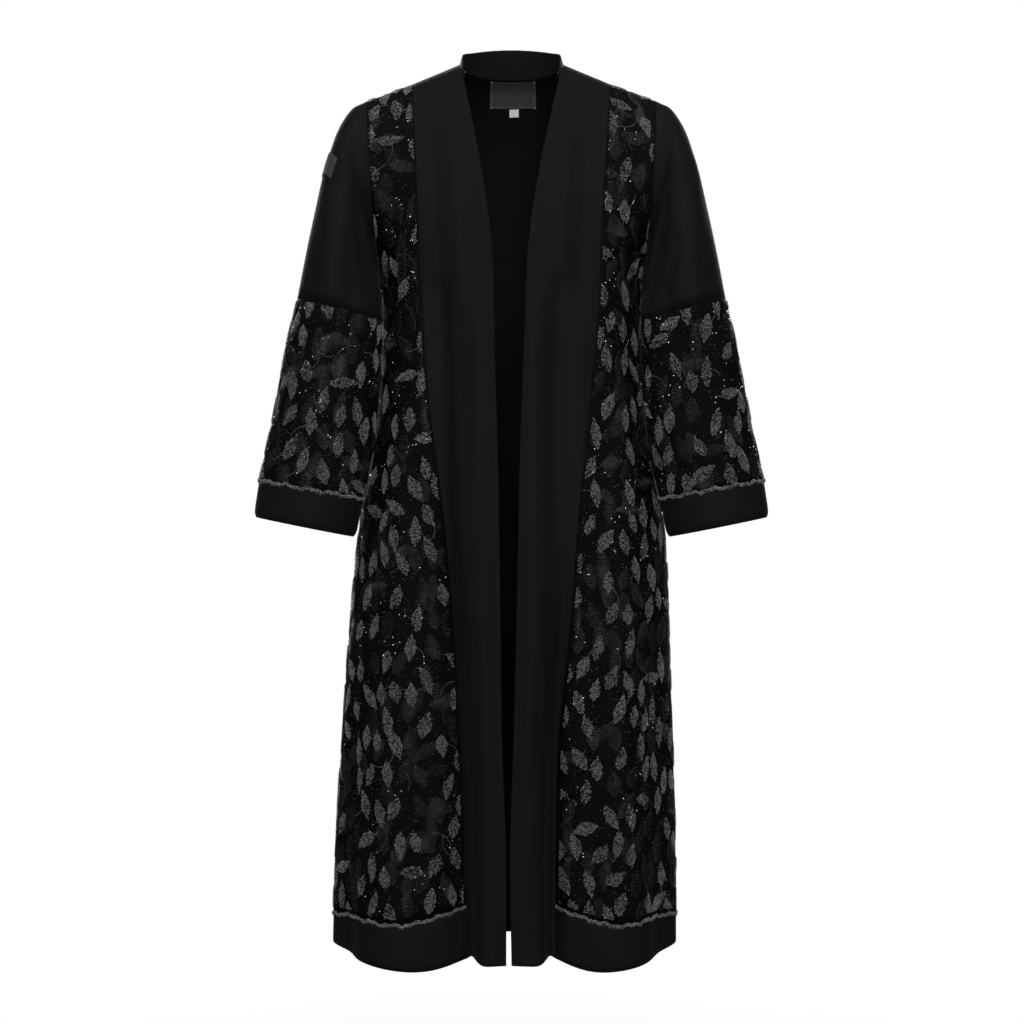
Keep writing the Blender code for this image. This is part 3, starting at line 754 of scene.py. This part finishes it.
def ribbed_leaf(panel, spot, chance):
    """Short dark cords laid side by side across one leaf, bowed towards its tip."""
    length, width, bend, tilt = leaf_frame(chance)
    length, width = length * 1.05, width * 1.25
    lines = []
    for y in np.arange(-length / 2 + RIB_PITCH, length / 2 - RIB_PITCH / 2, RIB_PITCH):
        share = y / length + 0.5
        half = float(leaf_width(share, width))
        if half < 0.0018:
            continue
        across = np.linspace(-half, half, 6)
        bow = y + 0.0028 * (across / half) ** 2 + chance.normal(0, 0.0002)
        across = across + bend * (1 - (2 * share - 1) ** 2)
        rows, columns = panel.beside(*spot, *turned(across, bow, tilt))
        good = panel.inside(rows, columns, 0.3)
        if good.sum() >= 3:
            points, normals = panel.at(rows[good], columns[good])
            lines.append((points + normals * RIB_RADIUS * 0.6, normals, chance.uniform(0, 1)))
    return lines


def spray(panel, spot, chance):
    """A curved line of small beads, such as a stem or the outline of a motif."""
    radius = chance.uniform(0.010, 0.032)
    sweep = chance.uniform(0.7, 2.2)
    count = max(int(radius * sweep / 0.0019), 5)
    turns = chance.uniform(0, 2 * math.pi) + np.linspace(0, sweep, count)
    x, y = radius * (np.cos(turns) - math.cos(turns[0])), radius * (np.sin(turns) - math.sin(turns[0]))
    rows, columns = panel.beside(*spot, x, y)
    good = panel.inside(rows, columns, 0.3)
    return rows[good], columns[good]


def bead_axes(panel, rows, columns, radius, height, spin):
    """Scaled directions for beads that sit on the cloth, each turned a little differently."""
    _, _, across, up, normal = panel.frame_at(rows, columns)
    first = across * np.cos(spin)[:, None] + up * np.sin(spin)[:, None]
    second = np.cross(normal, first)
    return np.stack((first * radius, second * radius, normal * height), axis=1), normal


def set_beads(name, panel, rows, columns, lift, size, shape, tones, material, chance):
    """Beads of one kind set down on a panel at grid places."""
    spin = chance.uniform(0, math.pi, len(rows))
    axes, normals = bead_axes(panel, rows, columns, size[0], size[1], spin)
    centres = panel.at(rows, columns)[0] + normals * np.asarray(lift)[..., None]
    return strew(name, shape, centres, axes, tones, material)


def beadwork(panel, label, seed, sequins, finishes):
    """Everything sewn on one net panel: grey leaves, dark leaves, sprays, seeds and sequins."""
    chance = np.random.default_rng(seed)
    leaves, ribs, sprays, pieces = [], [], [], []
    spots = motif_places(panel, chance)
    for spot in spots:
        if chance.random() < LEAF_SHARE:
            leaves.append(bead_leaf(panel, spot, chance))
        else:
            ribs += ribbed_leaf(panel, spot, chance)
        if chance.random() < SPRAY_SHARE:
            sprays.append(spray(panel, spot, chance))
    for spot in zip(*panel.scatter(int(len(spots) * FAN_SHARE), chance)):
        ribs += ribbed_leaf(panel, spot, chance)
    rows, columns, pads, tones = (np.concatenate(part) for part in zip(*leaves))
    size = (BEAD_PITCH * 0.47, BEAD_PITCH * 0.50)
    shape = gem_shape(6)
    pieces.append(
        set_beads(
            "leaves_" + label, panel, rows, columns, pads + 0.0004, size, shape, tones,
            finishes["grey_beads"], chance,
        )
    )
    pieces.append(
        cords("dark_leaves_" + label, ribs, RIB_RADIUS, 3, finishes["black_beads"])
    )
    rows, columns = (np.concatenate(part) for part in zip(*sprays))
    pieces.append(
        set_beads(
            "sprays_" + label, panel, rows, columns, np.full(len(rows), 0.0003), (SPRAY_BEAD, SPRAY_BEAD),
            gem_shape(6), chance.uniform(0.1, 0.8, len(rows)), finishes["grey_beads"],
            chance,
        )
    )
    count = len(spots) * SEEDS_PER_MOTIF
    rows, columns = panel.scatter(count, chance)
    good = panel.inside(rows, columns, 0.5)
    rows, columns, count = rows[good], columns[good], int(good.sum())
    pieces.append(
        set_beads(
            "seed_beads_" + label, panel, rows, columns, np.full(count, 0.0003), SEED_BEAD,
            gem_shape(4), chance.power(0.30, count) * 0.9 - 0.2, finishes["grey_beads"],
            chance,
        )
    )
    pieces.append(lay_sequins("sequins_" + label, panel, chance, sequins, finishes["sequins"]))
    return pieces


def lay_sequins(name, panel, chance, count, material):
    """Flat round sequins, each tipped a little from the cloth."""
    radius, thick = SEQUIN
    rows, columns = sequin_places(panel, chance, count)
    tilt = chance.normal(0, SEQUIN_TILT, (len(rows), 2))
    spin = chance.uniform(0, 3, len(rows))
    axes, normals = bead_axes(panel, rows, columns, radius, thick, spin)
    normals = normals + axes[:, 0] / radius * tilt[:, :1] + axes[:, 1] / radius * tilt[:, 1:]
    normals /= np.linalg.norm(normals, axis=1)[:, None]
    first = np.cross(axes[:, 1], normals)
    first *= radius / np.linalg.norm(first, axis=1)[:, None]
    axes = np.stack((first, np.cross(normals, first), normals * thick), axis=1)
    centres = panel.at(rows, columns)[0] + normals * SEQUIN_LIFT
    tones = chance.uniform(0, 1, len(rows))
    return strew(name, gem_shape(8), centres, axes, tones, material)


def sequin_places(panel, chance, count):
    """Sequins in loose clusters and short rows, more of them high up the panel."""
    rows, columns = [], []
    while len(rows) < count:
        height, across = (value[0] for value in panel.scatter(1, chance))
        if chance.random() > 0.35 + 0.65 * height / panel.rows:
            continue
        number = int(chance.integers(1, 4))
        lean = chance.uniform(0, math.pi)
        for k in range(number):
            step = 0.0075 * (k - number / 2) + chance.normal(0, 0.0025)
            spread = chance.normal(0, 0.0045)
            x, y = turned(step, spread, lean)
            row, column = panel.beside(height, across, x, y)
            if panel.inside(np.array(row), np.array(column), 0.5):
                rows.append(row)
                columns.append(column)
    return np.array(rows), np.array(columns)


def edging_tape(name, panel, material):
    """The narrow tape under the edging, which wanders a little over the seam."""
    rows, columns = panel.row_line(0, TAPE_STEP)
    points, normals = panel.at(rows, columns)
    up = panel.frame_at(rows, columns)[3]
    tape = bmesh.new()
    rings = []
    for point, rise, out, sway in zip(points, up, normals, braid_sway(np.arange(len(rows)) * TAPE_STEP)):
        middle = point + rise * sway
        rings.append([tape.verts.new(middle + rise * a + out * h) for a, h in TAPE_PROFILE])
    for one, two in zip(rings, rings[1:] + rings[:1] if panel.closed else rings[1:]):
        for k in range(len(one)):
            n = (k + 1) % len(one)
            tape.faces.new((one[k], one[n], two[n], two[k]))
    if not panel.closed:
        tape.faces.new(rings[0])
        tape.faces.new(rings[-1])
    bmesh.ops.recalc_face_normals(tape, faces=tape.faces)
    mesh = bpy.data.meshes.new(name)
    tape.to_mesh(mesh)
    tape.free()
    mesh.shade_smooth()
    return piece_object(name, mesh, (material,))


def edging_beads(name, panel, material, chance):
    """Strands of beads that cross over and under each other along the tape."""
    rows, columns = panel.row_line(0, BRAID_STEP)
    points, normals = panel.at(rows, columns)
    _, _, across, up, _ = panel.frame_at(rows, columns)
    run = np.arange(len(rows)) * BRAID_STEP
    centres, axes = [], []
    for strand in range(EDGE_STRANDS):
        wave = 2 * math.pi * (run / BRAID_WAVE + strand / EDGE_STRANDS)
        sway = braid_sway(run) + 0.0019 * np.sin(wave) + chance.normal(0, 0.0004, len(run))
        rise = 0.0012 + 0.0007 * np.cos(2 * wave) + chance.normal(0, 0.0002, len(run))
        centres.append(points + up * sway[:, None] + normals * rise[:, None])
        sizes = chance.uniform(0.0008, 0.0012, (len(run), 1))
        axes.append(np.stack((across * sizes, up * sizes, normals * sizes), axis=1))
    centres, axes = np.concatenate(centres), np.concatenate(axes)
    flip = np.linalg.det(axes) < 0
    axes[flip, 0] *= -1
    tones = chance.uniform(-0.1, 1.1, len(centres))
    return strew(name, gem_shape(6), centres, axes, tones, material)


def edging(name, panel, node, finishes, seed):
    """Braided bead edging over the seam at the panel's lowest row."""
    tape = edging_tape(name + "_tape", panel, finishes["tape"])
    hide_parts(node)
    chance = np.random.default_rng(seed)
    return [tape, edging_beads(name + "_beads", panel, finishes["edging_beads"], chance)]


def braid_sway(run):
    """How far the edging wanders up or down along its length."""
    return 0.0011 * np.sin(run / 0.0052) + 0.0007 * np.sin(run / 0.0023 + 1.0)


def stitch_row(name, panel, rows, columns, finishes):
    """Short stitches that lie end to end along grid places."""
    points, normals = panel.at(rows, columns)
    along = np.gradient(points, axis=0)
    along /= np.linalg.norm(along, axis=1)[:, None]
    side = np.cross(normals, along)
    axes = np.stack((along * STITCH[0], side * STITCH[1], normals * STITCH[1]), axis=1)
    tones = np.full(len(points), 0.5)
    places = points + normals * 0.00012
    return strew(name, gem_shape(6), places, axes, tones, finishes["thread"])


def tree_of(mesh, skin=None):
    """For finding points on a mesh, or on one skin of it alone."""
    faces = [tuple(f.vertices) for f in mesh.polygons if skin in (None, f.material_index)]
    return BVHTree.FromPolygons([v.co for v in mesh.vertices], faces)


def label_piece(name, base_node, cloth, skin, material):
    """A woven label or tab, laid on a skin of the smooth cloth at its own height above it."""
    mesh = rounded(quad_wall(name), name + "_woven", 3)
    solid, smooth = tree_of(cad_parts[base_node].data), tree_of(cloth.data, skin)
    points = coords(mesh)
    for k, point in enumerate(points):
        height = solid.find_nearest(Vector(point))[3]
        spot, normal = smooth.find_nearest(Vector(point))[:2]
        ripple = 0.00012 * math.sin(point[0] * 520) * math.sin(point[2] * 310)
        points[k] = spot + normal * (height - 0.0003 + ripple)
    set_coords(mesh, points)
    mesh.shade_smooth()
    mesh.set_sharp_from_angle(angle=math.radians(50))
    piece = piece_object(name + "_woven", mesh, (material,) * 3)
    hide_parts(name)
    return piece


def corner_tacks(name, label, node, finishes):
    """Small thread bars that hold a label's corners."""
    low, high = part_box(node)
    tree = tree_of(label.data)
    inset = 0.0026
    centres, axes = [], []
    for x in (low.x + inset, high.x - inset):
        for z in (high.z - inset * 0.6, low.z + inset * 0.6):
            for k in range(3):
                place = Vector((x + (k - 1) * 0.0008, low.y - 0.01, z))
                spot, normal = tree.ray_cast(place, Vector((0, 1, 0)))[:2]
                along = Vector((0.25, 0, 1)).normalized()
                side = normal.cross(along).normalized()
                centres.append(spot + normal * 0.0002)
                axes.append((along * 0.0012, side * 0.0003, normal * 0.0003))
    places, turns = np.array(centres), np.array(axes)
    tones = np.full(len(places), 0.9)
    return strew(name, gem_shape(6), places, turns, tones, finishes["label_thread"])


def build_finishes():
    return {
        "crepe": crepe("black_crepe", (0.0040, 0.0040, 0.0044), (0.0062, 0.0062, 0.0066)),
        "inside": crepe("crepe_wrong_side", (0.0054, 0.0054, 0.0057), (0.0080, 0.0080, 0.0084)),
        # A darker copy of the wrong-side crepe for the inside of the back: painted shade inside the coat
        "back_wrong_side_painted_shade": crepe("crepe_wrong_side_back_painted_shade", (0.0014, 0.0014, 0.0015), (0.0024, 0.0024, 0.0026)),
        "net": beaded_net("beaded_net"),
        "grey_beads": glass_beads(
            "grey_beads", (0.004, 0.004, 0.0045), (0.330, 0.330, 0.323), 0.30, 0.35
        ),
        "black_beads": glass_beads(
            "black_beads", (0.0018, 0.0018, 0.0020), (0.024, 0.024, 0.025), 0.30, 0.0, 0.40
        ),
        "edging_beads": glass_beads(
            "edging_beads", (0.010, 0.010, 0.010), (0.360, 0.360, 0.350), 0.32, 0.30
        ),
        "tape": glass_beads("edging_tape", (0.010, 0.010, 0.010), (0.024, 0.024, 0.024), 0.7, 0.0),
        "sequins": glass_beads("silver_sequins", (0.40, 0.40, 0.41), (0.92, 0.92, 0.92), 0.18, 1.0),
        "thread": glass_beads("black_thread", (0.004, 0.004, 0.004), (0.006, 0.006, 0.006), 0.7, 0.0, 0.1),
        "label_thread": glass_beads(
            "label_thread", (0.40, 0.40, 0.38), (0.70, 0.70, 0.67), 0.6, 0.0
        ),
    }


def build_coat(finishes):
    """The sewn pieces, then what lies on them."""
    cloths, kinds = {}, {}
    for name in sorted(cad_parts):
        if "trim" in name or "label" in name or name == "size_tag":
            continue
        beaded = name.startswith(("side_front", "sleeve_lower"))
        outside = finishes["net"] if beaded else finishes["crepe"]
        # The back's wrong side takes the darker crepe copy, which paints the shade inside the coat
        inside = finishes["back_wrong_side_painted_shade"] if name == "back" else finishes["inside"]
        cloths[name], kinds[name] = cloth_piece(name, outside, inside)
    extras = {name: [] for name in cloths}
    for number, side in enumerate(("left", "right")):
        body = Panel(cloths["side_front_" + side].data, False)
        sleeve = Panel(cloths["sleeve_lower_" + side].data, True)
        front = Panel(cloths["front_" + side].data, False)
        for panel, node, label, edge, bead_seed, edge_seed in (
            (body, "side_front_", "side_front", "hem", 11, 31),
            (sleeve, "sleeve_lower_", "sleeve", "cuff", 21, 41),
        ):
            extras[node + side] += beadwork(
                panel, label + "_" + side, bead_seed + number, SEQUINS[label], finishes
            )
            extras[node + side] += edging(
                edge + "_edging_" + side, panel, edge + "_trim_" + side, finishes, edge_seed + number
            )
        spots = front.column_line(0, STITCH_STEP, STITCH_INSET)
        extras["front_" + side].append(stitch_row("edge_stitches_" + side, front, *spots, finishes))
    neck_box, tag_box, sleeve_box = (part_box(n) for n in ("neck_label", "size_tag", "sleeve_label"))
    neck_cloth = woven("neck_label_cloth", (0.018, 0.020, 0.020), (0.090, 0.095, 0.094), neck_box, 0.0022)
    tag_cloth = woven("size_tag_cloth", (0.80, 0.80, 0.78), (0.94, 0.94, 0.92), tag_box, 0.0010)
    sleeve_cloth = woven(
        "sleeve_label_cloth", (0.020, 0.021, 0.021), (0.060, 0.062, 0.062), sleeve_box, 0.0016
    )
    back, sleeve = cloths["back"], cloths["sleeve_upper_left"]
    label = label_piece("neck_label", "back", back, INNER, neck_cloth)
    tacks = corner_tacks("neck_label_tacks", label, "neck_label", finishes)
    tag = label_piece("size_tag", "back", back, INNER, tag_cloth)
    badge = label_piece(
        "sleeve_label", "sleeve_upper_left", sleeve, OUTER, sleeve_cloth
    )
    extras["back"] += [label, tacks, tag]
    extras["sleeve_upper_left"].append(badge)


def build_studio():
    """Camera, soft lamps, a pale floor and a white surround."""
    scene = bpy.context.scene
    camera = bpy.data.cameras.new("camera")
    camera.sensor_width = CAMERA_SENSOR
    camera.lens = CAMERA_SENSOR * abs(CAMERA_AT[1]) / VIEW_WIDTH
    stand = bpy.data.objects.new("camera", camera)
    stand.location = CAMERA_AT
    stand.rotation_euler = (math.pi / 2, 0, 0)
    scene.collection.objects.link(stand)
    scene.camera = stand
    for name, place, size, power in LAMPS:
        lamp = bpy.data.lights.new(name, "AREA")
        lamp.size, lamp.energy = size, power
        holder = bpy.data.objects.new(name, lamp)
        holder.location = place
        aim = Vector(LAMPS_AIM) - Vector(place)
        holder.rotation_euler = aim.to_track_quat("-Z", "Y").to_euler()
        scene.collection.objects.link(holder)
    disc = bmesh.new()
    bmesh.ops.create_circle(disc, cap_ends=True, radius=FLOOR_RADIUS, segments=96)
    bmesh.ops.translate(disc, verts=disc.verts, vec=(0, 0, -FLOOR_DROP))
    mesh = bpy.data.meshes.new("floor")
    disc.to_mesh(mesh)
    disc.free()
    paint = Finish("pale_floor", {"Base Color": (0.93, 0.93, 0.93, 1), "Roughness": 0.9})
    reach = paint.node("VectorMath", {"operation": "LENGTH"}, {0: paint.place()})
    fade = ((Sum(paint, reach.outputs["Value"]) - FLOOR_FADE[0]) * FLOOR_FADE[1]).kept()
    clear = paint.node("BsdfTransparent", {}, {})
    mixed = paint.node(
        "MixShader", {}, {0: fade, 1: paint.shader.outputs[0], 2: clear.outputs[0]}
    )
    paint.feed(paint.nodes["Material Output"].inputs["Surface"], mixed.outputs[0])
    mesh.materials.append(paint.material)
    floor = bpy.data.objects.new("floor", mesh)
    scene.collection.objects.link(floor)
    world = bpy.data.worlds.new("surround")
    world.use_nodes = True
    scene.world = world
    surround = Graph(world.node_tree)
    soft = surround.nodes["Background"]
    surround.feed(soft.inputs["Color"], WHITE)
    surround.feed(soft.inputs["Strength"], SURROUND_LIGHT)
    white = surround.node("Background", {}, {"Color": WHITE, "Strength": 1.0})
    seen = surround.node("LightPath", {}, {}).outputs["Is Camera Ray"]
    mixed = surround.node("MixShader", {}, {0: seen, 1: soft.outputs[0], 2: white.outputs[0]})
    surround.feed(surround.nodes["World Output"].inputs["Surface"], mixed.outputs[0])
    scene.view_settings.view_transform = "Standard"


build_coat(build_finishes())
build_studio()
